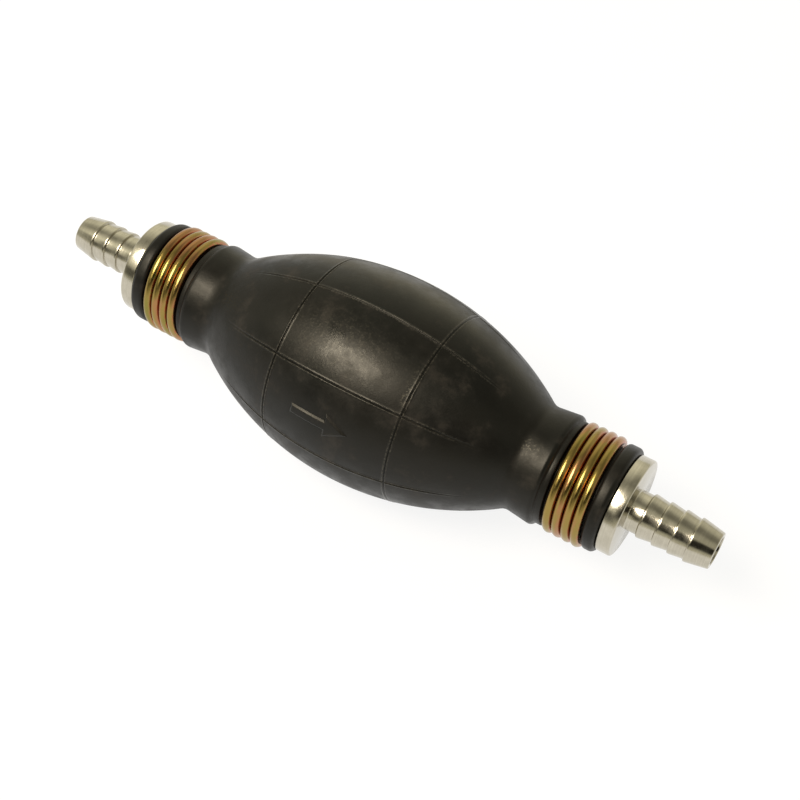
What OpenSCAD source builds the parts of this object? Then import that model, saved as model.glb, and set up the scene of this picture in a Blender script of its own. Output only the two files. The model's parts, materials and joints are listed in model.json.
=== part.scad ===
// Siphon bulb pump: a rubber hand-primer bulb with a barbed fitting and a check valve in each neck.
// X is the flow direction, from the inlet (-X) to the outlet (+X), and Z is up.
// The origin is on the flow axis, halfway between the two nozzle tips. All sizes are in millimetres.

/* [Bulb] */
// Outer radius of the bulb at its middle
bulb_r = 24; // [23:0.5:26]
// Radius of the long arc of the bulb's outline
bulb_arc_r = 67.5; // [66:0.5:70]
// Distance from the bulb's middle to the corner where a neck starts
bulb_half = 38.3; // [37:0.1:39]
// Thickness of the rubber wall
bulb_wall = 2.6; // [2.2:0.1:3]
// Width of the moulded grooves
groove_w = 0.6; // [0.4:0.1:1]
// Depth of the moulded grooves
groove_depth = 0.45; // [0.3:0.05:0.6]
// Distance from the bulb's middle to each ring groove
ring_x = 15.35; // [14:0.05:17]
// Number of moulded panels around the bulb
panel_count = 8; // [8:4:8]

/* [Necks] */
// Outer radius of the moulded collar beside the bulb
collar_r = 12.8; // [12.7:0.05:13.1]
// Outer radius of the neck next to the clamp
neck_r = 11.9; // [11.7:0.1:12.2]
// Outer radius of the lip at the end of the neck
lip_r = 12; // [11.9:0.1:12.4]
// Distance from the middle of the pump to the end of each neck
neck_end = 59.3; // [59.2:0.1:59.3]
// Distance from the middle of the pump to the end of each collar
collar_end = 44.8; // [44.4:0.1:45.2]

/* [Wire clamps] */
// Thickness of the clamp wire
clamp_wire = 2.1; // [1.9:0.1:2.1]
// Distance from one turn to the next
clamp_pitch = 2.2; // [2.15:0.05:2.2]
// Outer radius of the clamp
clamp_r = 12.55; // [12.5:0.05:12.8]
// Number of turns
clamp_turns = 4; // [4:1:4]
// Distance from the middle of the pump to the middle of each clamp
clamp_x = 51.4; // [51.2:0.1:51.6]

/* [Fittings] */
// Radius of the flange
flange_r = 11; // [10.8:0.1:11.4]
// Thickness of the flange
flange_t = 3.3; // [3:0.1:3.3]
// Distance from the middle of the pump to the outer face of each flange
flange_x = 62.7; // [62.7:0.1:63]
// Radius at the crests of the hose barbs
barb_r = 5; // [4.9:0.1:5.2]
// Radius between the barbs
barb_root_r = 4.55; // [4.3:0.05:4.6]
// Distance from one barb to the next
barb_pitch = 3.56; // [3.5:0.01:3.6]
// Number of barbs
barb_count = 4; // [4:1:4]
// Length of the nozzle from the flange to the tip
nozzle_len = 18.9; // [18.7:0.1:19.5]
// Radius of the nozzle's end
nozzle_tip_r = 4.1; // [4.1:0.1:4.3]
// Radius of the flow bore
bore_r = 3.2; // [3:0.1:3.3]
// Radius of the spigot inside the neck
spigot_r = 7.2; // [7.1:0.1:7.4]
// Length of the spigot
spigot_len = 18.6; // [18.4:0.1:18.6]
// Radius of the valve chamber
chamber_r = 5.5; // [5.5:0.1:5.6]

/* [Check valves] */
// Radius of the valve ball
ball_r = 3.97; // [3.9:0.01:4]
// How far a ball lifts off its seat
ball_lift = 2.4; // [2:0.1:2.4]
// Thickness of the valve spring's wire
spring_wire = 0.6; // [0.5:0.1:0.6]
// Radius of the valve spring, to the middle of its wire
spring_r = 2.7; // [2.6:0.1:2.8]
// Thickness of the rubber seat washer
seal_t = 1.2; // [1:0.1:1.4]

/* [Squeeze walls] */
// How far each side of the bulb can be pressed in
squeeze_travel = 12; // [8:0.5:12]
// Half the height of the part of the wall that is pressed in
squeeze_half_h = 14.5; // [13:0.5:14.5]

/* [Hidden] */
$fn = 72;

inlet = -1;
outlet = 1;
eps = 0.01;
joint_gap = 0.3;

// Bulb and necks
arc_steps = 24;
ring_cut = 2 * bulb_r;
groove_end = 33;
corner_blend = 1;
collar_step = 0.8;
lip_round = 0.6;
shoulder = 2.2;
cavity_end = bulb_half - shoulder;
neck_bore_lead = 1;

// Wire clamps
clamp_wire_r = clamp_wire / 2;
clamp_coil_r = clamp_r - clamp_wire_r;
clamp_half = (clamp_turns * clamp_pitch + clamp_wire) / 2;
clamp_start_angle = 30;
clamp_seat_gap = 0.05;
clamp_seat_r = clamp_coil_r - clamp_wire_r - clamp_seat_gap;
clamp_sides = 10;
clamp_rings = 36;

// Fittings
flange_inner_x = flange_x - flange_t;
spigot_x = flange_inner_x - spigot_len;
tip_x = flange_x + nozzle_len;
last_barb_len = 5.4;
crest_x = tip_x - last_barb_len;
crest_land = 0.5;
edge = 0.4;
rib_rise = 0.6;
rib_r = spigot_r + rib_rise;
rib_len = 2.4;
rib_offsets = [7.5, 12];
chamber_floor = 1.7;
chamber_end = flange_inner_x - chamber_floor;

// Check valves: from the spigot's open end outward come the ring, the insert, the ball and the spring
ring_wire = 0.8;
ring_inset = 0.5;
ring_bite = 0.6;
ring_lap = 0.7;
ring_gap = 3;
ring_x0 = spigot_x + ring_inset;
ring_groove_r = chamber_r + ring_bite;
insert_x = ring_x0 + ring_wire;
retainer_t = 0.8;
flow_hole_count = 6;
flow_hole_r = 1;
flow_hole_pitch_r = 4.1;
centre_hole_r = 2;
seat_ring_t = 2;
valve_hole_r = 3;
ball_gap = 0.02;
ball_drop = sqrt((ball_r + ball_gap) ^ 2 - valve_hole_r ^ 2);
inlet_washer_x = chamber_end - seal_t;
outlet_washer_x = insert_x + seat_ring_t;
inlet_ball_x = inlet_washer_x - ball_drop;
outlet_ball_x = outlet_washer_x + seal_t + ball_drop;
spring_wire_r = spring_wire / 2;
spring_nest = sqrt((ball_r + spring_wire_r + ball_gap) ^ 2 - spring_r ^ 2) - spring_wire_r;
spring_sides = 8;
spring_rings = 24;
spring_turns = 5.5;
inlet_spring_len = inlet_ball_x - spring_nest - insert_x - retainer_t;
outlet_spring_len = chamber_end - outlet_ball_x - spring_nest;
spring_solid_len = spring_turns * spring_wire;
assert(inlet_spring_len - ball_lift > spring_solid_len, "the inlet spring would bind before its ball is open");
assert(outlet_spring_len - ball_lift > spring_solid_len, "the outlet spring would bind before its ball is open");

// Squeeze walls
window_half_x = ring_x - groove_w;
window_half_z = squeeze_half_h + joint_gap;
pressed_clearance = sqrt((bulb_r - bulb_wall) ^ 2 - squeeze_half_h ^ 2) - squeeze_travel;
assert(pressed_clearance > joint_gap, "the squeeze walls would meet inside the bulb");

// Arrow
arrow_angle = 67.5;
arrow_rise = 0.5;
arrow_sink = 0.6;
arrow_shaft = 8.5;
arrow_shaft_w = 2.4;
arrow_head = 5.8;
arrow_head_w = 5.8;
arrow_tail_x = -8;

// Turned parts are drawn about Z, and this lays them along the flow axis, toward one end.
module toward(side) {
    rotate([0, 90 * side, 0]) children();
}

// A turned solid from its outline of [radius, distance] points.
module turned(outline) {
    rotate_extrude() polygon(outline);
}

// A straight tube along Z.
module tube(outer_r, inner_r, from, length) {
    translate([0, 0, from]) difference() {
        cylinder(r = outer_r, h = length);
        translate([0, 0, -eps]) cylinder(r = inner_r, h = length + 2 * eps);
    }
}

// Radius of the bulb's outline at a distance x from the bulb's middle, inset into the wall.
function bulb_outline(x, inset) = bulb_r - bulb_arc_r + sqrt((bulb_arc_r - inset) ^ 2 - x ^ 2);

// Points of the bulb's long arc, from the inlet side to the outlet side.
function long_arc(half, inset) = [
    for (i = [0:arc_steps])
        let (x = half * (2 * i / arc_steps - 1))
        [bulb_outline(x, inset), x]
];

// One neck's outline from the bulb outward: collar, clamp seat and rolled lip.
function neck_outline() = [
    [collar_r, bulb_half + corner_blend],
    [collar_r, collar_end - collar_step],
    [neck_r, collar_end],
    [neck_r, clamp_x - clamp_half],
    [clamp_seat_r, clamp_x - clamp_half],
    [clamp_seat_r, clamp_x + clamp_half],
    [lip_r - lip_round / 2, clamp_x + clamp_half],
    [lip_r, clamp_x + clamp_half + lip_round / 2],
    [lip_r, neck_end - lip_round],
    [lip_r - lip_round, neck_end]
];

// The spigot's gripping ribs from the bulb outward, which the neck's bore follows.
function ribs() = [
    for (offset = rib_offsets)
        let (start = spigot_x + offset)
        each [[spigot_r, start], [rib_r, start + rib_len], [spigot_r, start + rib_len]]
];

// The outline of one neck's bore.
function neck_bore() = concat(
    [[spigot_r, spigot_x - neck_bore_lead]],
    ribs(),
    [[spigot_r, neck_end + eps]]
);

// The same outline read from the other end.
function reversed(points) = [for (i = [len(points) - 1:-1:0]) points[i]];

// The same outline on the inlet side, read toward the outlet.
function toward_inlet(points) = [for (p = reversed(points)) [p.x, -p.y]];

module bulb_blank() {
    turned(concat(
        [[0, -neck_end]],
        toward_inlet(neck_outline()),
        long_arc(bulb_half, 0),
        neck_outline(),
        [[0, neck_end]]
    ));
}

module bulb_cavity() {
    turned(concat(
        [[0, -neck_end - eps]],
        toward_inlet(neck_bore()),
        long_arc(cavity_end, bulb_wall),
        neck_bore(),
        [[0, neck_end + eps]]
    ));
}

// A groove around the bulb at distance x from the bulb's middle.
module ring_groove(x) {
    depth_r = bulb_outline(x, 0) - groove_depth;
    tube(ring_cut, depth_r, x - groove_w / 2, groove_w);
}

// A groove along the bulb, following its long arc.
module long_groove() {
    rotate([90, 0, 0])
        linear_extrude(groove_w, center = true)
            polygon(concat(long_arc(groove_end, -1), reversed(long_arc(groove_end, groove_depth))));
}

module grooves() {
    for (side = [inlet, outlet]) ring_groove(side * ring_x);
    for (i = [0:panel_count - 1]) rotate([0, 0, i * 360 / panel_count]) long_groove();
}

// The rubber wall of the whole bulb, before the squeeze walls are separated from it.
module rubber_wall() {
    toward(outlet) difference() {
        bulb_blank();
        bulb_cavity();
        grooves();
    }
}

// A block through one side of the bulb, front (-Y) or back (+Y), as large as the squeeze wall and its gap.
module squeeze_block(side, half_x, half_z) {
    translate([-half_x, side < 0 ? -2 * bulb_r : 0, -half_z])
        cube([2 * half_x, 2 * bulb_r, 2 * half_z]);
}

module squeeze_wall(side) {
    color([0.11, 0.105, 0.1]) intersection() {
        rubber_wall();
        squeeze_block(side, window_half_x - joint_gap, squeeze_half_h);
    }
}

// The raised arrow on the front of the bulb points along the flow.
module arrow() {
    face_r = bulb_outline(0, 0);
    rotate([arrow_angle, 0, 0])
        translate([0, 0, face_r - arrow_sink])
            linear_extrude(arrow_sink + arrow_rise)
                polygon([
                    [arrow_tail_x, -arrow_shaft_w / 2],
                    [arrow_tail_x + arrow_shaft, -arrow_shaft_w / 2],
                    [arrow_tail_x + arrow_shaft, -arrow_head_w / 2],
                    [arrow_tail_x + arrow_shaft + arrow_head, 0],
                    [arrow_tail_x + arrow_shaft, arrow_head_w / 2],
                    [arrow_tail_x + arrow_shaft, arrow_shaft_w / 2],
                    [arrow_tail_x, arrow_shaft_w / 2]
                ]);
}

module bulb() {
    color([0.11, 0.105, 0.1]) difference() {
        rubber_wall();
        for (side = [-1, 1]) squeeze_block(side, window_half_x, window_half_z);
    }
}

module front_squeeze_wall() {
    squeeze_wall(-1);
    color([0.11, 0.105, 0.1]) arrow();
}

module back_squeeze_wall() {
    squeeze_wall(1);
}

// The barbs from the flange to the tip: each rises sharply and tapers toward the tip.
function barbs() = [
    for (i = [barb_count - 1:-1:0])
        let (x = crest_x - i * barb_pitch)
        each [[barb_root_r, x], [barb_r, x], [barb_r, x + crest_land]]
];

// A turned fitting: spigot with valve chamber, flange and barbed nozzle.
module fitting(side) {
    outline = concat(
        [[0, spigot_x], [spigot_r - edge, spigot_x], [spigot_r, spigot_x + edge]],
        ribs(),
        [
            [spigot_r, flange_inner_x],
            [flange_r - edge, flange_inner_x],
            [flange_r, flange_inner_x + edge],
            [flange_r, flange_x - edge],
            [flange_r - edge, flange_x],
            [barb_root_r, flange_x]
        ],
        barbs(),
        [[nozzle_tip_r, tip_x - edge], [nozzle_tip_r - edge, tip_x], [0, tip_x]]
    );
    color([0.8, 0.79, 0.76]) toward(side) difference() {
        turned(outline);
        translate([0, 0, spigot_x - eps]) cylinder(r = chamber_r, h = chamber_end - spigot_x + eps);
        translate([0, 0, chamber_end - eps]) cylinder(r = bore_r, h = tip_x - chamber_end + 2 * eps);
        translate([0, 0, ring_x0]) cylinder(r = ring_groove_r, h = ring_wire);
    }
}

// A point on the surface of a coiled wire of radius wire_r, a share u of a turn from the coil's start.
function wire_point(coil_r, wire_r, axial, u, a) =
    let (reach = coil_r + wire_r * cos(a))
    [reach * cos(360 * u), reach * sin(360 * u), axial + wire_r * sin(a)];

// A coiled wire about Z. axials lists the wire's height at each of its rings.
module coiled_wire(coil_r, wire_r, sides, rings, axials) {
    last = len(axials) - 1;
    points = [
        for (i = [0:last], k = [0:sides - 1])
            wire_point(coil_r, wire_r, axials[i], i / rings, 360 * k / sides)
    ];
    walls = [
        for (i = [0:last - 1], k = [0:sides - 1])
            let (next = (k + 1) % sides)
            each [
                [i * sides + k, i * sides + next, (i + 1) * sides + next],
                [i * sides + k, (i + 1) * sides + next, (i + 1) * sides + k]
            ]
    ];
    first_cap = [for (k = [sides - 1:-1:0]) k];
    last_cap = [for (k = [0:sides - 1]) last * sides + k];
    polyhedron(points, concat(walls, [first_cap, last_cap]));
}

// The clamp's wire is wound as a screw of constant pitch.
module clamp(side) {
    steps = clamp_turns * clamp_rings;
    axials = [for (i = [0:steps]) (i / clamp_rings - clamp_turns / 2) * clamp_pitch];
    color([0.78, 0.62, 0.28])
        translate([side * clamp_x, 0, 0])
            toward(outlet)
                rotate([0, 0, clamp_start_angle])
                    coiled_wire(clamp_coil_r, clamp_wire_r, clamp_sides, clamp_rings, axials);
}

// A compression spring's height after u turns: its first and last turns are closed.
function spring_height(u, length) =
    let (
        closed = 1,
        open_turns = spring_turns - 2 * closed,
        open_len = length - 2 * closed * spring_wire - spring_wire
    )
    u < closed ? u * spring_wire
    : u > spring_turns - closed ? closed * spring_wire + open_len + (u - spring_turns + closed) * spring_wire
    : closed * spring_wire + open_len * (u - closed) / open_turns;

// A valve spring of the given length, starting at distance from along one end's axis.
module valve_spring(side, from, length) {
    steps = spring_turns * spring_rings;
    axials = [for (i = [0:steps]) spring_height(i / spring_rings, length) + spring_wire_r];
    color([0.7, 0.7, 0.7])
        toward(side)
            translate([0, 0, from])
                coiled_wire(spring_r, spring_wire_r, spring_sides, spring_rings, axials);
}

module valve_ball(side, distance) {
    color([0.75, 0.75, 0.77]) toward(side) translate([0, 0, distance]) sphere(r = ball_r);
}

module seat_washer(side, from) {
    color([0.15, 0.15, 0.15]) toward(side) tube(chamber_r, valve_hole_r, from, seal_t);
}

// An open wire ring that snaps into the groove at the chamber's mouth.
module retaining_ring(side) {
    color([0.6, 0.6, 0.62]) toward(side) difference() {
        tube(ring_groove_r, chamber_r - ring_lap, ring_x0, ring_wire);
        translate([0, -ring_gap / 2, ring_x0 - eps]) cube([2 * chamber_r, ring_gap, ring_wire + 2 * eps]);
    }
}

module inlet_fitting() {
    fitting(inlet);
}

module inlet_clamp() {
    clamp(inlet);
}

module inlet_seat_washer() {
    seat_washer(inlet, inlet_washer_x);
}

module inlet_valve_ball() {
    valve_ball(inlet, inlet_ball_x);
}

module inlet_valve_spring() {
    valve_spring(inlet, insert_x + retainer_t, inlet_spring_len);
}

// The disc that the inlet spring pushes against, with flow holes around its middle.
module inlet_spring_retainer() {
    color([0.75, 0.62, 0.35]) toward(inlet) translate([0, 0, insert_x]) difference() {
        cylinder(r = chamber_r, h = retainer_t);
        for (i = [0:flow_hole_count - 1])
            rotate([0, 0, i * 360 / flow_hole_count])
                translate([flow_hole_pitch_r, 0, -eps])
                    cylinder(r = flow_hole_r, h = retainer_t + 2 * eps);
        translate([0, 0, -eps]) cylinder(r = centre_hole_r, h = retainer_t + 2 * eps);
    }
}

module inlet_retaining_ring() {
    retaining_ring(inlet);
}

module outlet_fitting() {
    fitting(outlet);
}

module outlet_clamp() {
    clamp(outlet);
}

// The insert that closes the outlet chamber and carries its seat washer.
module outlet_seat_ring() {
    color([0.75, 0.62, 0.35]) toward(outlet) tube(chamber_r, valve_hole_r, insert_x, seat_ring_t);
}

module outlet_seat_washer() {
    seat_washer(outlet, outlet_washer_x);
}

module outlet_valve_ball() {
    valve_ball(outlet, outlet_ball_x);
}

module outlet_valve_spring() {
    valve_spring(outlet, outlet_ball_x + spring_nest, outlet_spring_len);
}

module outlet_retaining_ring() {
    retaining_ring(outlet);
}

bulb();
front_squeeze_wall();
back_squeeze_wall();
inlet_fitting();
inlet_clamp();
inlet_seat_washer();
inlet_valve_ball();
inlet_valve_spring();
inlet_spring_retainer();
inlet_retaining_ring();
outlet_fitting();
outlet_clamp();
outlet_seat_ring();
outlet_seat_washer();
outlet_valve_ball();
outlet_valve_spring();
outlet_retaining_ring();
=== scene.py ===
"""Looks of the siphon bulb pump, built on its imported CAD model.

Outlines and sizes are in millimetres, as in the CAD source, and a mesh is scaled to metres when it is made.
Angles around the flow axis (X) are counted from +Z toward the front (-Y).
"""

import json
import math

import bmesh
import bpy
import numpy as np
from mathutils import Matrix, Vector


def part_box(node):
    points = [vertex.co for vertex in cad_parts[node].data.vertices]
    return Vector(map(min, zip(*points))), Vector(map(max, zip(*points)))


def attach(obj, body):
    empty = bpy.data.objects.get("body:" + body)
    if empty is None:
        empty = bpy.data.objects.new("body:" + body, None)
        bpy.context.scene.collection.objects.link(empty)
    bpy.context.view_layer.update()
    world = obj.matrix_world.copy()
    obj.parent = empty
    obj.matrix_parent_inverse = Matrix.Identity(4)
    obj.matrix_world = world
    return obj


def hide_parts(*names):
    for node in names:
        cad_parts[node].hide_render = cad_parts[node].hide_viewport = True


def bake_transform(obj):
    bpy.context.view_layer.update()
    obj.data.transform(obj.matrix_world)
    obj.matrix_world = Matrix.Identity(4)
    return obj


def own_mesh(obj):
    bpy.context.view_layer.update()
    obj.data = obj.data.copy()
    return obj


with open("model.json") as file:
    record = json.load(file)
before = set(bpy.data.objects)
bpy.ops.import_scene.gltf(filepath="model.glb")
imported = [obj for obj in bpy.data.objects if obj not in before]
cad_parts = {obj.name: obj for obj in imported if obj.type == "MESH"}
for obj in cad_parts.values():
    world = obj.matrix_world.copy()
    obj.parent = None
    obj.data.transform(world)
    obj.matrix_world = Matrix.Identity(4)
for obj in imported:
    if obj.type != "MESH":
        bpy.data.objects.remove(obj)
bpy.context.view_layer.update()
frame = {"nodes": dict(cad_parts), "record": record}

MM = 0.001
INLET = -1
OUTLET = 1
FRONT = 1
BACK = -1


def span(node, axis):
    """Lowest and highest value of a CAD node along an axis, in mm."""
    low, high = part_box(node)
    return low[axis] / MM, high[axis] / MM


def mount(name):
    """One of the record's mounts."""
    return next(m for m in frame["record"]["mounts"] if m["name"] == name)


# Bulb
BULB_R = span("bulb", 2)[1]
ARC_R = 67.5
BULB_HALF = 38.3
WALL = 2.6
SHOULDER = 2.2
JOINT_GAP = 0.3
GROOVE_W = 0.6
PANEL_ANGLE = 45
RING_REACH = span("front_squeeze_wall", 0)[1] + JOINT_GAP + GROOVE_W
# A groove reads as a fine line with a lip on either side
LINE_W = 0.44
GROOVE_DEPTH = 0.19
GROOVE_LIP = 0.07
# Distances from the bulb's middle over which the long grooves fade out
GROOVE_FADE = (18, 33)

# Worn patches of the rubber, and a patch of painted sheen, as (x, degrees, length in mm, width in degrees)
GRIP = (-2.5, 27, 10, 14)
COLLAR_SCUFFS = ((39.3, 26, 0.8, 7), (42.6, 46, 0.9, 8))
RING_EDGE_SCUFF = (RING_REACH - 0.9, 30, 0.5, 9)
# Painted sheen: a pale patch on the far upper side of the bulb, standing in for grazing reflection of the
# pale studio
PAINTED_SHEEN_PATCH = (-4, -31, 32, 11)
# How scuffed the grip is, where a scuff of its own is 1
GRIP_SCUFF = 0.35

# Necks
NECK_END = span("bulb", 0)[1]
NECK_R = 11.9
COLLAR_R = 12.8
COLLAR_END = 44.8
LIP_R = 12
NECK_BORE_R = 7.9

# Wire clamps
CLAMP_R = span("outlet_clamp", 2)[1]
CLAMP_WIRE_R = 1.05
CLAMP_TURNS = 4
CLAMP_COIL_R = CLAMP_R - CLAMP_WIRE_R
CLAMP_START = 210
# The share of a turn's slant that the rubber beside it follows
CLAMP_FOLLOW = 0.65

# Fittings
SPIGOT_X, TIP_X = span("outlet_fitting", 0)
FLANGE_R = span("outlet_fitting", 2)[1]
FLANGE_T = 3.3
FLANGE_GAP = 0.1
FLANGE_X = NECK_END + FLANGE_GAP + FLANGE_T
BARB_R = mount("outlet_barb")["dims"]["r_mm"]
BARB_X = mount("outlet_barb")["pos_m"][0] / MM
BARB_LAND = mount("outlet_barb")["dims"]["length_mm"]
BARB_ROOT_R = 4.55
BARB_PITCH = 3.56
BARB_COUNT = 4
TIP_R = 4.1
BORE_R = mount("outlet_port")["dims"]["r_mm"]
BORE_LEN = mount("outlet_port")["dims"]["length_mm"]
SPIGOT_R = 7.2
CHAMBER_R = 5.5
CHAMBER_END = TIP_X - BORE_LEN
RIB_RISE = 0.6
RIB_LEN = 2.4
RIB_OFFSETS = (7.5, 12)

# Arrow
ARROW_ANGLE = 67.5
ARROW_TAIL_X = -8
ARROW_SHAFT = 8.5
ARROW_SHAFT_W = 2.4
ARROW_HEAD = 5.8
ARROW_HEAD_W = 5.8
ARROW_RISE = 0.36
ARROW_SINK = 0.3
ARROW_SLOPE = 0.8


def smooth(low, high, value):
    """0 below low, 1 above high, and a smooth S between them."""
    t = np.clip((value - low) / (high - low), 0, 1)
    return t * t * (3 - 2 * t)


def bell(value, width):
    """1 at 0, falling smoothly to almost nothing at twice the width on either side."""
    return np.exp(-((value / width) ** 2))


def around(x, r, degrees):
    """Points at a distance x along the flow axis, at radius r and at an angle from +Z toward the front."""
    turn = np.radians(degrees)
    x, y, z = np.broadcast_arrays(x, -r * np.sin(turn), r * np.cos(turn))
    return np.stack([x, y, z], axis=-1)


def fine_steps(reach, count):
    """Offsets from -reach to reach, closest together at the middle."""
    spread = 3
    return reach * np.sinh(np.linspace(-spread, spread, count)) / math.sinh(spread)


def rounded(corners, closed=False, steps=6):
    """The outline through (x, r, rounding) corners, each rounded by an arc of that radius."""
    count = len(corners)
    points = []
    for i, (x, r, rounding) in enumerate(corners):
        here = np.array((x, r), float)
        if rounding == 0 or (not closed and i in (0, count - 1)):
            points.append(here)
            continue
        back = np.array(corners[i - 1][:2]) - here
        ahead = np.array(corners[(i + 1) % count][:2]) - here
        back /= np.linalg.norm(back)
        ahead /= np.linalg.norm(ahead)
        half_angle = math.acos(float(np.clip(back @ ahead, -1, 1))) / 2
        middle = (back + ahead) / np.linalg.norm(back + ahead)
        centre = here + middle * rounding / math.sin(half_angle)
        start = here + back * rounding / math.tan(half_angle) - centre
        end = here + ahead * rounding / math.tan(half_angle) - centre
        sweep = math.pi - 2 * half_angle
        for k in range(steps + 1):
            along = sweep * k / steps
            arm = (start * math.sin(sweep - along) + end * math.sin(along)) / math.sin(sweep)
            points.append(centre + arm)
    return np.array(points)


def grid_faces(index):
    """The four-sided faces between neighbouring entries of a 2-D array of point numbers."""
    corners = (index[:-1, :-1], index[1:, :-1], index[1:, 1:], index[:-1, 1:])
    return np.stack([c.ravel() for c in corners], axis=1).tolist()


def piece(name, points, faces, material, slot, crease=50):
    """A closed, smooth mesh from points in mm, creased where its faces meet at more than crease degrees."""
    mesh = bpy.data.meshes.new(name)
    mesh.from_pydata((points * MM).tolist(), [], faces)
    editable = bmesh.new()
    editable.from_mesh(mesh)
    bmesh.ops.recalc_face_normals(editable, faces=editable.faces)
    editable.to_mesh(mesh)
    editable.free()
    mesh.materials.append(material)
    mesh.shade_smooth()
    mesh.set_sharp_from_angle(angle=math.radians(crease))
    made = bpy.data.objects.new(name, mesh)
    bpy.context.scene.collection.objects.link(made)
    paint(made, "rest_mm", points)
    return made


def paint(made, name, values):
    """Stores one number or one vector per point of a mesh, for its material to read."""
    values = np.asarray(values, np.float32)
    kind, field = ("FLOAT", "value") if values.ndim == 1 else ("FLOAT_VECTOR", "vector")
    made.data.attributes.new(name, kind, "POINT").data.foreach_set(field, values.ravel())


def turned(outline, sides=160):
    """Points and faces of a solid turned about the flow axis from a closed outline of (x, r) points."""
    degrees = np.linspace(0, 360, sides, endpoint=False)
    points = around(outline[:, :1], outline[:, 1:], degrees).reshape(-1, 3)
    index = np.arange(len(points)).reshape(len(outline), sides)
    index = np.vstack([index, index[:1]])
    return points, grid_faces(np.hstack([index, index[:, :1]]))


def coil(coil_r, wire_r, heights, start, per_turn, sides):
    """Points and faces of a wire coiled about the flow axis. heights lists its x at each ring of points."""
    filed_end = 0.75
    count = len(heights)
    thickness = np.full(count, wire_r)
    thickness[[0, -1]] *= filed_end
    section = np.linspace(0, 2 * math.pi, sides, endpoint=False)
    reach = coil_r + thickness[:, None] * np.cos(section)
    x = heights[:, None] + thickness[:, None] * np.sin(section)
    degrees = start + np.arange(count)[:, None] * 360 / per_turn
    points = around(x, reach, degrees).reshape(-1, 3)
    index = np.arange(len(points)).reshape(count, sides)
    faces = grid_faces(np.hstack([index, index[:, :1]]))
    return points, faces + [index[0].tolist(), index[-1].tolist()]


class Nodes:
    """A node tree, and short ways to add to it."""

    def __init__(self, owner):
        owner.use_nodes = True
        self.tree = owner.node_tree

    def connect(self, socket, value):
        """Gives a socket a value, or links another node's output to it."""
        if isinstance(value, bpy.types.NodeSocket):
            self.tree.links.new(value, socket)
        else:
            socket.default_value = value

    def node(self, kind, inputs, **settings):
        """A new node with these settings and inputs."""
        made = self.tree.nodes.new(kind)
        for key, value in settings.items():
            setattr(made, key, value)
        for key, value in inputs.items():
            self.connect(made.inputs[key], value)
        return made

    def math(self, operation, a, b):
        return self.node("ShaderNodeMath", {0: a, 1: b}, operation=operation).outputs[0]

    def fit(self, value, low, high, to_low=0.0, to_high=1.0, curve="SMOOTHSTEP"):
        """value from low to high, carried over to the range to_low to to_high."""
        inputs = {"Value": value, "From Min": low, "From Max": high, "To Min": to_low, "To Max": to_high}
        return self.node("ShaderNodeMapRange", inputs, interpolation_type=curve).outputs[0]

    def mix(self, share, a, b):
        """Colour a where share is 0, and colour b where it is 1."""
        made = self.node("ShaderNodeMix", {}, data_type="RGBA")
        sockets = {s.name: s for s in made.inputs if s.enabled}
        for name, value in (("Factor", share), ("A", a), ("B", b)):
            self.connect(sockets[name], value)
        return next(s for s in made.outputs if s.enabled)

    def ramp(self, position, stops):
        """The colour at a position from 0 to 1 between (position, colour) stops."""
        made = self.node("ShaderNodeValToRGB", {"Fac": position})
        elements = made.color_ramp.elements
        elements.remove(elements[0])
        for i, (at, shade) in enumerate(stops):
            stop = elements[0] if i == 0 else elements.new(at)
            stop.position = at
            stop.color = shade
        return made.outputs["Color"]


class Surface(Nodes):
    """A procedural material: a Principled shader and the nodes that feed it."""

    def __init__(self, name, constants):
        self.material = bpy.data.materials.new(name)
        super().__init__(self.material)
        self.shader = self.tree.nodes["Principled BSDF"]
        for socket, value in constants.items():
            self.shader.inputs[socket].default_value = value

    def feed(self, socket, output):
        self.tree.links.new(output, self.shader.inputs[socket])

    def painted(self, name, output="Fac"):
        """What paint() stored on the mesh under this name."""
        return self.node("ShaderNodeAttribute", {}, attribute_name=name).outputs[output]

    def place(self, stretch=(1, 1, 1)):
        """The rest position in mm, so that a pattern stays on its surface when a pose bends the mesh."""
        where = self.painted("rest_mm", "Vector")
        return self.node("ShaderNodeVectorMath", {0: where, 1: stretch}, operation="MULTIPLY").outputs[0]

    def cad_place(self):
        """The position in mm on a CAD node, which holds nothing painted."""
        where = self.node("ShaderNodeTexCoord", {}).outputs["Object"]
        return self.node("ShaderNodeVectorMath", {0: where, "Scale": 1 / MM}, operation="SCALE").outputs[0]

    def noise(self, place, scale, detail=3.0, roughness=0.55):
        inputs = {"Vector": place, "Scale": scale, "Detail": detail, "Roughness": roughness}
        return self.node("ShaderNodeTexNoise", inputs).outputs["Fac"]

    def bump(self, layers):
        """Feeds the shader's normal from (height, depth in mm) layers, each laid on the one before."""
        normal = None
        for height, depth in layers:
            inputs = {"Height": height, "Distance": depth * MM}
            if normal is not None:
                inputs["Normal"] = normal
            normal = self.node("ShaderNodeBump", inputs).outputs[0]
        self.feed("Normal", normal)


def colour(red, green, blue):
    return (red, green, blue, 1.0)


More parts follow.
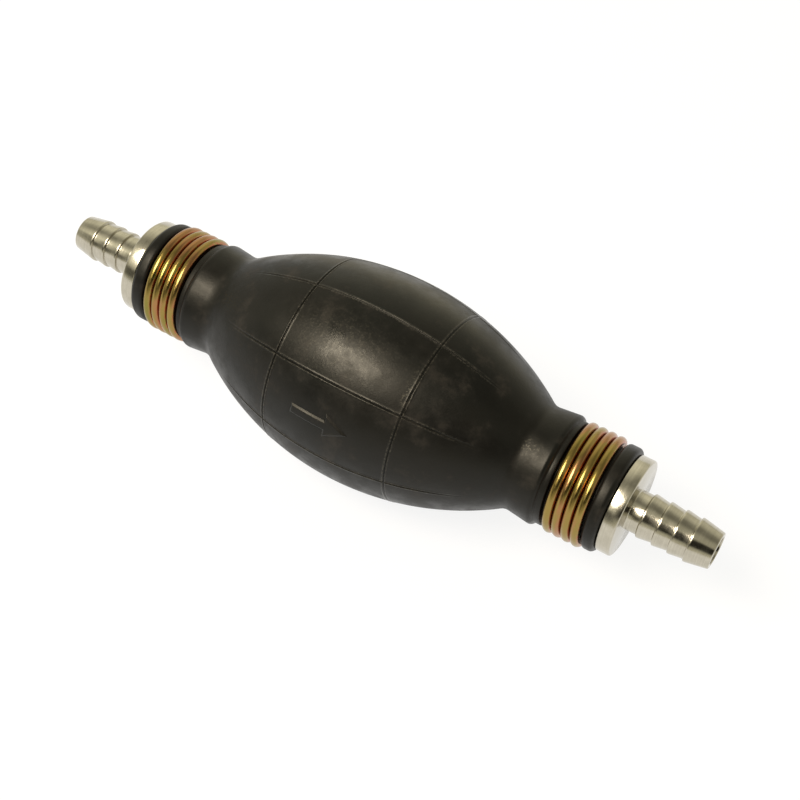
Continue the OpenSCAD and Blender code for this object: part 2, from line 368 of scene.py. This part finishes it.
def bulb_rubber():
    """Satin black rubber with brown smudges, a polished grip, pale groove lips, scuffs, pale arrow edges
    with painted highlight and shade, and a faint painted sheen on the far upper side.
    """
    rubber = Surface("bulb_rubber", {"Specular IOR Level": 0.27, "Specular Tint": colour(1.0, 0.96, 0.82)})
    place = rubber.place()
    broad = rubber.noise(place, 0.06)
    smudge = rubber.noise(place, 0.16, detail=5.0, roughness=0.65)
    mottle = rubber.noise(place, 0.45, detail=6.0)
    specks = rubber.noise(place, 1.8, detail=5.0, roughness=0.7)
    grain = rubber.noise(place, 5.0)
    lip = rubber.painted("lip")
    tone = rubber.fit(broad, 0.35, 0.65)
    tone = rubber.mix(tone, colour(0.0016, 0.0019, 0.0019), colour(0.0042, 0.0038, 0.0033))
    smudged = rubber.fit(smudge, 0.52, 0.72)
    # Painted sheen: a pale grey patch on the far upper side stands in for grazing reflection
    painted_sheen = rubber.math("MULTIPLY", rubber.painted("painted_sheen"), rubber.fit(broad, 0.3, 0.6, 0.6, 1.0))
    # Pale paint on raised edges: wear on the groove lips; on the arrow's edges, wear with painted highlight
    # and painted shade by side
    worn_and_painted_light = rubber.math("MULTIPLY", lip, rubber.fit(specks, 0.44, 0.62, 0.06, 0.75))
    scuffed = rubber.math("MULTIPLY", rubber.painted("scuff"), rubber.fit(specks, 0.5, 0.66))
    layers = (
        (smudged, colour(0.016, 0.0134, 0.011)),
        (painted_sheen, colour(0.075, 0.068, 0.045)),
        (worn_and_painted_light, colour(0.07, 0.063, 0.05)),
        (scuffed, colour(0.14, 0.128, 0.095)),
    )
    for share, shade in layers:
        tone = rubber.mix(share, tone, shade)
    rubber.feed("Base Color", tone)
    smoothing = 0.18
    gloss = rubber.math("MULTIPLY", rubber.painted("polish"), rubber.fit(mottle, 0.38, 0.6, 0.45, 1.0))
    smoother = rubber.math("MULTIPLY", rubber.math("ADD", gloss, lip), smoothing)
    rough = rubber.fit(smudge, 0.36, 0.64, 0.35, 0.5)
    rubber.feed("Roughness", rubber.math("SUBTRACT", rough, smoother))
    rubber.bump([(mottle, 0.025), (specks, 0.015), (grain, 0.005)])
    return rubber.material


def fitting_metal():
    """Turned aluminium: bright and satin, with fine marks that run round it."""
    metal = Surface("fitting_metal", {"Metallic": 1.0, "Anisotropic": 0.3})
    turning = metal.noise(metal.place((1, 0.015, 0.015)), 3.0, detail=4.0, roughness=0.7)
    blotches = metal.noise(metal.place(), 0.5, detail=5.0)
    grain = metal.noise(metal.place(), 6.0)
    tone = metal.fit(blotches, 0.35, 0.65)
    tone = metal.mix(tone, colour(0.48, 0.448, 0.362), colour(0.54, 0.505, 0.413))
    marks = metal.fit(turning, 0.35, 0.65, 0.0, 0.3)
    metal.feed("Base Color", metal.mix(marks, tone, colour(0.34, 0.312, 0.25)))
    metal.feed("Roughness", metal.fit(blotches, 0.3, 0.7, 0.13, 0.2))
    metal.feed("Tangent", metal.node("ShaderNodeTangent", {}, direction_type="RADIAL", axis="X").outputs[0])
    metal.bump([(turning, 0.006), (grain, 0.005)])
    return metal.material


def clamp_wire():
    """Yellow-plated wire: gold, greenish or coppery in patches, with a painted red reflection on the flanks
    between the turns.
    """
    wire = Surface("clamp_wire", {"Metallic": 1.0})
    copper_side = {0: wire.place(), 1: (-0.06, 1, 0)}
    toward_copper = wire.node("ShaderNodeVectorMath", copper_side, operation="DOT_PRODUCT").outputs["Value"]
    patches = wire.noise(wire.place((0.5, 0.1, 0.1)), 0.8, detail=2.0)
    patches = wire.math("ADD", patches, wire.fit(toward_copper, -2.0, 4.0, -0.01, 0.1))
    tint = wire.mix(wire.fit(patches, 0.3, 0.46), colour(0.25, 0.21, 0.05), colour(0.31, 0.22, 0.064))
    tint = wire.mix(wire.fit(patches, 0.5, 0.62), tint, colour(0.36, 0.19, 0.078))
    streaks = wire.noise(wire.place(), 1.2, detail=4.0)
    # Painted reflection: the flanks where turns face each other are tinted red, standing in for light
    # bounced between the turns
    flank = wire.fit(wire.painted("flank"), 0.55, 0.95)
    painted_reflection = wire.math("MULTIPLY", flank, wire.fit(streaks, 0.35, 0.6))
    wire.feed("Base Color", wire.mix(painted_reflection, tint, colour(0.4, 0.12, 0.06)))
    wire.feed("Roughness", wire.fit(streaks, 0.3, 0.7, 0.2, 0.27))
    wire.bump([(streaks, 0.001)])
    return wire.material


def seal_rubber():
    """Matte black rubber of the valve washers."""
    rubber = Surface("seal_rubber", {})
    grain = rubber.noise(rubber.cad_place(), 2.5, detail=5.0)
    rubber.feed("Base Color", rubber.mix(grain, colour(0.01, 0.01, 0.01), colour(0.03, 0.029, 0.027)))
    rubber.feed("Roughness", rubber.fit(grain, 0.3, 0.7, 0.6, 0.8))
    rubber.bump([(grain, 0.02)])
    return rubber.material


def valve_metal(name, dark, pale, place_of):
    """A small bright valve part, with faint marks in its polish."""
    metal = Surface(name, {"Metallic": 1.0})
    marks = metal.noise(place_of(metal), 1.5, detail=5.0)
    metal.feed("Base Color", metal.mix(marks, dark, pale))
    metal.feed("Roughness", metal.fit(marks, 0.3, 0.7, 0.12, 0.3))
    metal.bump([(marks, 0.006)])
    return metal.material


RUBBER = bulb_rubber()
ALUMINIUM = fitting_metal()
PLATED = clamp_wire()
STEEL = colour(0.5, 0.5, 0.52), colour(0.68, 0.68, 0.7)
BRASS = colour(0.6, 0.44, 0.18), colour(0.78, 0.6, 0.3)


def bulb_radius(x, inset=0.0):
    """Radius of the bulb's long arc at x, or of a surface inset into its wall."""
    return BULB_R - ARC_R + np.sqrt((ARC_R - inset) ** 2 - x**2)


def bore_radius(x):
    """Radius of the inside of the rubber: the chamber, or the tight bore of a neck."""
    in_chamber = np.abs(x) < BULB_HALF - SHOULDER
    return np.where(in_chamber, bulb_radius(x, WALL), NECK_BORE_R)


def neck_corners(side, corner_round, collar_round):
    """One neck from the bulb to its end: collar, clamp seat and lip, as (x, r, rounding) corners."""
    collar_slope = 0.6
    seat_slope = 0.1
    seat_low, seat_high = span("outlet_clamp", 0)
    seat_r = CLAMP_COIL_R - CLAMP_WIRE_R
    corners = [
        (BULB_HALF, bulb_radius(BULB_HALF), corner_round),
        (COLLAR_END, COLLAR_R, collar_round),
        (COLLAR_END + collar_slope, NECK_R, 0.4),
        (seat_low - seat_slope, NECK_R, 0.3),
        (seat_low, seat_r, 0),
        (seat_high, seat_r, 0),
        (seat_high + seat_slope, LIP_R, 0.9),
        (NECK_END, LIP_R, 1.1),
        (NECK_END, NECK_BORE_R, 0),
    ]
    return [(side * x, r, rounding) for x, r, rounding in corners][::side]


def skin_outline():
    """The rubber's outside from the inlet's end to the outlet's, with its points closest at the grooves."""
    inlet = neck_corners(INLET, corner_round=5, collar_round=1.3)
    outlet = neck_corners(OUTLET, corner_round=3, collar_round=1.1)
    corner_clearance = 2.2
    groove_reach = 2.0
    groove_points = 27
    spacing = 0.8
    stops = [inlet[-1][0] + corner_clearance]
    for side in (INLET, OUTLET):
        stops += [side * RING_REACH - groove_reach, side * RING_REACH + groove_reach]
    stops.append(outlet[0][0] - corner_clearance)
    plain = [np.arange(a, b, spacing) for a, b in zip(stops[::2], stops[1::2])]
    fine = [side * RING_REACH + fine_steps(groove_reach, groove_points) for side in (INLET, OUTLET)]
    arc = np.unique(np.concatenate([*plain, *fine, [stops[-1]]]))
    return rounded(inlet + [(x, bulb_radius(x), 0) for x in arc] + outlet)


def panel_angles():
    """Angles across one half of the bulb, close together at the grooves along it."""
    half_turn = 180
    groove_reach = 5.0
    groove_points = 27
    spacing = 1.8
    angles = []
    for groove in range(0, half_turn + 1, PANEL_ANGLE):
        angles += list(groove + fine_steps(groove_reach, groove_points))
        angles += list(np.arange(groove + groove_reach, groove + PANEL_ANGLE - groove_reach, spacing))
    angles = np.array(angles)
    between = angles[(angles > 0) & (angles < half_turn)]
    return np.unique(np.round(np.concatenate([between, [0, half_turn]]), 4))


def groove_valley(distance):
    """How deep a moulded groove is at a distance from its middle, as a share of its depth."""
    return bell(distance, 0.3 * LINE_W)


def groove_lips(distance):
    """How high the lips beside a moulded groove stand, as a share of their height."""
    return bell(np.abs(distance) - 0.75 * LINE_W, 0.3 * LINE_W)


def groove_pattern(x, r, degrees):
    """Valley and lip shares of all the grooves of the bulb at these places."""
    off_panel = (degrees + PANEL_ANGLE / 2) % PANEL_ANGLE - PANEL_ANGLE / 2
    along = r * np.radians(off_panel)
    reach = np.abs(x)
    faded = 1 - smooth(*GROOVE_FADE, reach)
    ring = reach - RING_REACH
    valley = np.maximum(groove_valley(along) * faded, groove_valley(ring))
    lips = np.maximum(groove_lips(along) * faded, groove_lips(ring)) * (1 - valley)
    return valley, lips


def bend_with(made):
    """Bakes a rubber piece's transform into its mesh."""
    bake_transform(made)


def spot(x, degrees, patch):
    """How much a worn patch covers each place: 1 at its middle, 0 well outside it."""
    at_x, at_degrees, length, width = patch
    return bell(x - at_x, length) * bell(degrees - at_degrees, width)


def toward_wire(x, degrees):
    """How far the rubber beside a clamp's end turns moves along the axis, to follow most of their slant."""
    lip_reach = 1.0
    collar_reach = 0.35
    touching = 0.01
    reaches = {"inlet_clamp": (lip_reach, collar_reach), "outlet_clamp": (collar_reach, lip_reach)}
    turned_share = (degrees - CLAMP_START) % 360 / 360
    move = 0 * x
    for name, (before, after) in reaches.items():
        low, high = span(name, 0)
        slant = CLAMP_FOLLOW * (high - low - 2 * CLAMP_WIRE_R) / CLAMP_TURNS
        beside_low = (x > low - before) & (x < low + touching)
        beside_high = (x > high - touching) & (x < high + after)
        move = move + slant * (beside_low * turned_share - beside_high * (1 - turned_share))
    return move


def shell_outline():
    """The rubber's closed outline, outside first and then inside, and which of its points are outside."""
    evened = 0.03
    end_gap = 0.2
    outside = skin_outline()
    even_x = np.linspace(end_gap - NECK_END, NECK_END - end_gap, len(outside))
    inside_x = (1 - evened) * outside[:, 0] + evened * even_x
    inside = np.stack([inside_x, bore_radius(inside_x)], axis=1)
    return np.vstack([outside, inside[::-1]]), np.arange(2 * len(outside)) < len(outside)


def half_skin(name, side, nodes):
    """One half of the rubber, a closed shell split from the other half along the top and bottom grooves."""
    outline, outer = shell_outline()
    outer = outer[:, None]
    degrees = side * panel_angles()
    x, r = outline[:, :1], outline[:, 1:]
    valley, lips = groove_pattern(x, r, degrees)
    valley, lips = valley * outer, lips * outer
    x = x + outer * toward_wire(x, degrees)
    points = around(x, r - GROOVE_DEPTH * valley + GROOVE_LIP * lips, degrees).reshape(-1, 3)
    index = np.arange(len(points)).reshape(len(outline), len(degrees))
    faces = grid_faces(np.vstack([index, index[:1]]))
    for edge in (0, -1):
        outside, inside = np.split(index[:, edge], 2)
        faces += grid_faces(np.stack([outside, inside[::-1]]))
    made = piece(name, points, faces, RUBBER, "bulb_rubber")
    grip = spot(x, degrees, GRIP) * outer
    scuffs = sum(spot(x, degrees, patch) for patch in (*COLLAR_SCUFFS, RING_EDGE_SCUFF)) * outer
    paint(made, "lip", lips.ravel())
    paint(made, "polish", grip.ravel())
    # The patch of painted sheen on the far upper side
    paint(made, "painted_sheen", (spot(x, degrees, PAINTED_SHEEN_PATCH) * outer).ravel())
    paint(made, "scuff", (GRIP_SCUFF * grip + scuffs).ravel())
    bend_with(made)
    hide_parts(*nodes)


def depth_inside(points, corners):
    """How far each point lies inside a convex polygon of anticlockwise corners (negative outside it)."""
    depths = []
    for a, b in zip(corners, np.roll(corners, -1, axis=0)):
        along = (b - a) / np.linalg.norm(b - a)
        depths.append((points - a) @ np.array((-along[1], along[0])))
    return np.min(depths, axis=0)


def arrow_patch():
    """The raised arrow: a thin closed patch whose top rises out of the rubber inside the arrow's outline."""
    margin = 0.6
    step = 0.11
    edge_blend = 0.4
    head_x = ARROW_TAIL_X + ARROW_SHAFT
    tip_x = head_x + ARROW_HEAD
    shaft = np.array([
        (ARROW_TAIL_X, -ARROW_SHAFT_W / 2),
        (head_x + ARROW_SHAFT_W / 2, -ARROW_SHAFT_W / 2),
        (head_x + ARROW_SHAFT_W / 2, ARROW_SHAFT_W / 2),
        (ARROW_TAIL_X, ARROW_SHAFT_W / 2),
    ])
    head = np.array([(head_x, -ARROW_HEAD_W / 2), (tip_x, 0), (head_x, ARROW_HEAD_W / 2)])
    x = np.arange(ARROW_TAIL_X - margin, tip_x + margin, step)[:, None]
    across = np.arange(-ARROW_HEAD_W / 2 - margin, ARROW_HEAD_W / 2 + margin, step)[None, :]
    flat = np.stack(np.broadcast_arrays(x, across), axis=-1)
    inside = np.maximum(depth_inside(flat, shaft), depth_inside(flat, head))
    rise = np.clip(ARROW_SLOPE * inside, -ARROW_SINK, ARROW_RISE)
    r = bulb_radius(x)
    degrees = ARROW_ANGLE + np.degrees(across / BULB_R)
    top = around(x, r + rise, degrees)
    bottom = around(x, r - 2 * ARROW_SINK + 0 * rise, degrees)
    points = np.concatenate([top.reshape(-1, 3), bottom.reshape(-1, 3)])
    index = np.arange(len(points)).reshape(2, *rise.shape)
    faces = grid_faces(index[0]) + grid_faces(index[1])
    for edge in (index[:, 0], index[:, -1], index[:, :, 0], index[:, :, -1]):
        faces += grid_faces(edge)
    made = piece("flow_arrow", points, faces, RUBBER, "bulb_rubber")
    flank = ARROW_RISE / ARROW_SLOPE
    upper = smooth(0, edge_blend, -across)
    # Pale edge paint: wear all round the arrow, heavier on the shaft's upper edge as a painted highlight,
    # and left off the head's upper edge as painted shade
    edge_wear_and_painted_light = np.where(x < head_x, 0.25 + 0.1 * upper, 0.3 * (1 - upper))
    worn_and_painted_light = (bell(inside - flank / 2, flank / 2) * edge_wear_and_painted_light).ravel()
    paint(made, "lip", np.concatenate([worn_and_painted_light, 0 * worn_and_painted_light]))
    for absent in ("polish", "scuff", "painted_sheen"):
        paint(made, absent, np.zeros(len(points)))
    bend_with(made)


def fitting(name, side):
    """A turned fitting: spigot with ribs and valve chamber, flange and barbed nozzle.

    Its outline is a list of (x, r, rounding) corners, from the bottom of the chamber round to the bore.
    """
    corners = [
        (CHAMBER_END, BORE_R, 0.2),
        (CHAMBER_END, CHAMBER_R, 0),
        (SPIGOT_X, CHAMBER_R, 0.2),
        (SPIGOT_X, SPIGOT_R, 0.4),
    ]
    for offset in RIB_OFFSETS:
        start = SPIGOT_X + offset
        end = start + RIB_LEN
        corners += [(start, SPIGOT_R, 0), (end, SPIGOT_R + RIB_RISE, 0.1), (end, SPIGOT_R, 0.1)]
    corners += [
        (FLANGE_X - FLANGE_T, SPIGOT_R, 0.2),
        (FLANGE_X - FLANGE_T, FLANGE_R, 0.35),
        (FLANGE_X, FLANGE_R, 0.45),
        (FLANGE_X, BARB_ROOT_R, 0.3),
    ]
    for i in range(BARB_COUNT):
        crest = BARB_X - BARB_LAND / 2 + i * BARB_PITCH
        corners += [(crest, BARB_ROOT_R, 0.12), (crest, BARB_R, 0.25), (crest + BARB_LAND, BARB_R, 1.5)]
    corners += [(TIP_X, TIP_R, 0.35), (TIP_X, BORE_R, 0.2)]
    outline = rounded([(side * x, r, rounding) for x, r, rounding in corners], closed=True, steps=4)
    made = piece(name + "_body", *turned(outline), ALUMINIUM, "fitting_metal", crease=35)
    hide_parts(name)
    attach(made, "pump_body")


def clamp(name):
    """A wire clamp: a coil of four turns whose ends are on the side away from the arrow."""
    per_turn = 96
    low, high = span(name, 0)
    ends = low + CLAMP_WIRE_R, high - CLAMP_WIRE_R
    heights = np.linspace(*ends, CLAMP_TURNS * per_turn + 1)
    sides = 20
    points, faces = coil(CLAMP_COIL_R, CLAMP_WIRE_R, heights, CLAMP_START, per_turn, sides)
    made = piece(name + "_coil", points, faces, PLATED, "clamp_wire")
    # The flanks that face the neighbouring turns, where the wire's material paints a red reflection
    flank = np.abs(np.sin(np.linspace(0, 2 * math.pi, sides, endpoint=False)))
    paint(made, "flank", np.tile(flank, len(heights)))
    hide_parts(name)
    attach(made, "pump_body")


def valve_spring(name, material):
    """A valve spring with closed end turns."""
    per_turn = 48
    turns = 5.5
    wire_r = 0.3
    coil_r = 2.7
    low, high = span(name, 0)
    turn = np.linspace(0, turns, int(turns * per_turn) + 1)
    pitch = 2 * wire_r
    heights = np.interp(
        turn,
        [0, 1, turns - 1, turns],
        [low + wire_r, low + wire_r + pitch, high - wire_r - pitch, high - wire_r],
    )
    points, faces = coil(coil_r, wire_r, heights, 0, per_turn, sides=14)
    made = piece(name + "_coil", points, faces, material, "valve_steel")
    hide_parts(name)
    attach(made, "pump_body")
    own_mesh(made)


def dress(node, material):
    """Gives a CAD node its material."""
    made = frame["nodes"][node]
    made.data.materials.clear()
    made.data.materials.append(material)


half_skin("front_skin", FRONT, ["bulb", "front_squeeze_wall"])
half_skin("back_skin", BACK, ["back_squeeze_wall"])
arrow_patch()
for end, side in (("inlet", INLET), ("outlet", OUTLET)):
    fitting(end + "_fitting", side)
    clamp(end + "_clamp")
spring_steel = valve_metal("spring_steel", *STEEL, Surface.place)
valve_spring("inlet_valve_spring", spring_steel)
valve_spring("outlet_valve_spring", spring_steel)

valve_steel = valve_metal("valve_steel", *STEEL, Surface.cad_place)
valve_brass = valve_metal("valve_brass", *BRASS, Surface.cad_place)
washer_rubber = seal_rubber()
for node in ("inlet_valve_ball", "outlet_valve_ball", "inlet_retaining_ring", "outlet_retaining_ring"):
    dress(node, valve_steel)
for node in ("inlet_spring_retainer", "outlet_seat_ring"):
    dress(node, valve_brass)
for node in ("inlet_seat_washer", "outlet_seat_washer"):
    dress(node, washer_rubber)


# How bright the studio is in each direction, as (degrees that it leans forward from straight up, brightness)
LEFT_SHADES = (
    (-90, 0.8),
    (-70, 0.85),
    (-52, 0.9),
    (-32, 0.52),
    (-12, 0.38),
    (8, 0.85),
    (30, 1.2),
    (42, 0.4),
    (62, 0.3),
    (78, 0.45),
    (90, 0.9),
)
MIDDLE_SHADES = (
    (-90, 0.85),
    (-70, 1.02),
    (-52, 1.05),
    (-32, 0.66),
    (-12, 0.28),
    (4, 0.5),
    (20, 1.2),
    (46, 1.1),
    (57, 0.7),
    (64, 0.12),
    (78, 0.12),
    (90, 0.75),
)
RIGHT_SHADES = (
    (-90, 0.66),
    (-70, 0.74),
    (-52, 0.66),
    (-32, 0.3),
    (-12, 0.24),
    (6, 0.5),
    (29, 0.55),
    (35, 0.02),
    (66, 0.02),
    (73, 0.5),
    (90, 0.8),
)
# The X of a direction over which one set of shades turns into the next
LEFT_TO_MIDDLE = (-0.75, -0.55)
MIDDLE_TO_RIGHT = (-0.2, 0.04)
TO_EITHER_SIDE = (0.75, 0.97)


def floor():
    """A wide pale floor under the bulb, with light of its own that keeps it pale and the shadow faint."""
    bpy.ops.mesh.primitive_plane_add(size=60, location=(0, 0, -BULB_R * MM))
    made = bpy.context.object
    made.name = "floor"
    constants = {
        "Base Color": colour(0.15, 0.15, 0.15),
        "Roughness": 0.9,
        "Specular IOR Level": 0.2,
        "Emission Color": colour(1, 1, 1),
        "Emission Strength": 0.86,
    }
    made.data.materials.append(Surface("floor_pale", constants).material)


def warm_grey(shade):
    """The studio's grey at a brightness."""
    return colour(shade, 0.96 * shade, 0.76 * shade)


def grey_ramp(world, lean, stops):
    """The studio's grey by how far a direction leans forward: lean is 0 at -90 degrees and 1 at 90."""
    return world.ramp(lean, [((degrees + 90) / 180, warm_grey(shade)) for degrees, shade in stops])


def studio():
    """Soft studio light: pale round the horizon, grey overhead and dark in front."""
    made = bpy.data.worlds.new("studio")
    bpy.context.scene.world = made
    world = Nodes(made)
    direction = world.node("ShaderNodeTexCoord", {}).outputs["Generated"]
    part = world.node("ShaderNodeSeparateXYZ", {0: direction}).outputs
    forward = world.math("MULTIPLY", part["Y"], -1.0)
    lean = world.math("ARCTAN2", forward, part["Z"])
    lean = world.fit(lean, -math.pi / 2, math.pi / 2, curve="LINEAR")
    left = grey_ramp(world, lean, LEFT_SHADES)
    middle = grey_ramp(world, lean, MIDDLE_SHADES)
    right = grey_ramp(world, lean, RIGHT_SHADES)
    shade = world.mix(world.fit(part["X"], *LEFT_TO_MIDDLE), left, middle)
    shade = world.mix(world.fit(part["X"], *MIDDLE_TO_RIGHT), shade, right)
    sideways = world.fit(world.math("ABSOLUTE", part["X"], 0.0), *TO_EITHER_SIDE)
    shade = world.mix(sideways, shade, colour(0.68, 0.66, 0.54))
    background = world.tree.nodes["Background"]
    background.inputs["Strength"].default_value = 1.0
    world.connect(background.inputs["Color"], shade)


def soft_box(name, aim, degrees_forward, degrees_right, distance, size, power):
    """An area light that leans from overhead toward the front and the right, turned to face its aim."""
    light = bpy.data.lights.new(name, "AREA")
    light.shape = "RECTANGLE"
    light.size, light.size_y = size
    light.energy = power
    light.color = (1.0, 0.9, 0.8)
    made = bpy.data.objects.new(name, light)
    right, forward = math.tan(math.radians(degrees_right)), math.tan(math.radians(degrees_forward))
    toward = Vector((right, -forward, 1)).normalized()
    made.location = aim + toward * distance
    made.rotation_euler = toward.to_track_quat("Z", "Y").to_euler()
    bpy.context.scene.collection.objects.link(made)


def camera(aim, distance, azimuth, elevation, roll, lens):
    """The camera looks at aim from an azimuth (0 looks along +Y) and an elevation, in degrees."""
    a, e = math.radians(azimuth), math.radians(elevation)
    back = Vector((math.sin(a) * math.cos(e), -math.cos(a) * math.cos(e), math.sin(e)))
    level_right = Vector((math.cos(a), math.sin(a), 0))
    level_up = back.cross(level_right)
    turn = Matrix.Rotation(math.radians(roll), 3, back)
    axes = Matrix([turn @ level_right, turn @ level_up, back]).transposed()
    made = bpy.data.objects.new("camera", bpy.data.cameras.new("camera"))
    made.data.lens = lens
    made.matrix_world = Matrix.Translation(aim + back * distance) @ axes.to_4x4()
    bpy.context.scene.collection.objects.link(made)
    bpy.context.scene.camera = made


floor()
studio()
soft_box(
    "key",
    aim=Vector((0, 0, 0)),
    degrees_forward=28.5,
    degrees_right=-19,
    distance=0.8,
    size=(0.46, 0.32),
    power=6.4,
)
camera(
    aim=Vector((6.0, -0.4, -2.6)) * MM,
    distance=330.4 * MM,
    azimuth=30.5,
    elevation=53.1,
    roll=1.7,
    lens=67.6,
)
bpy.context.scene.view_settings.view_transform = "Standard"
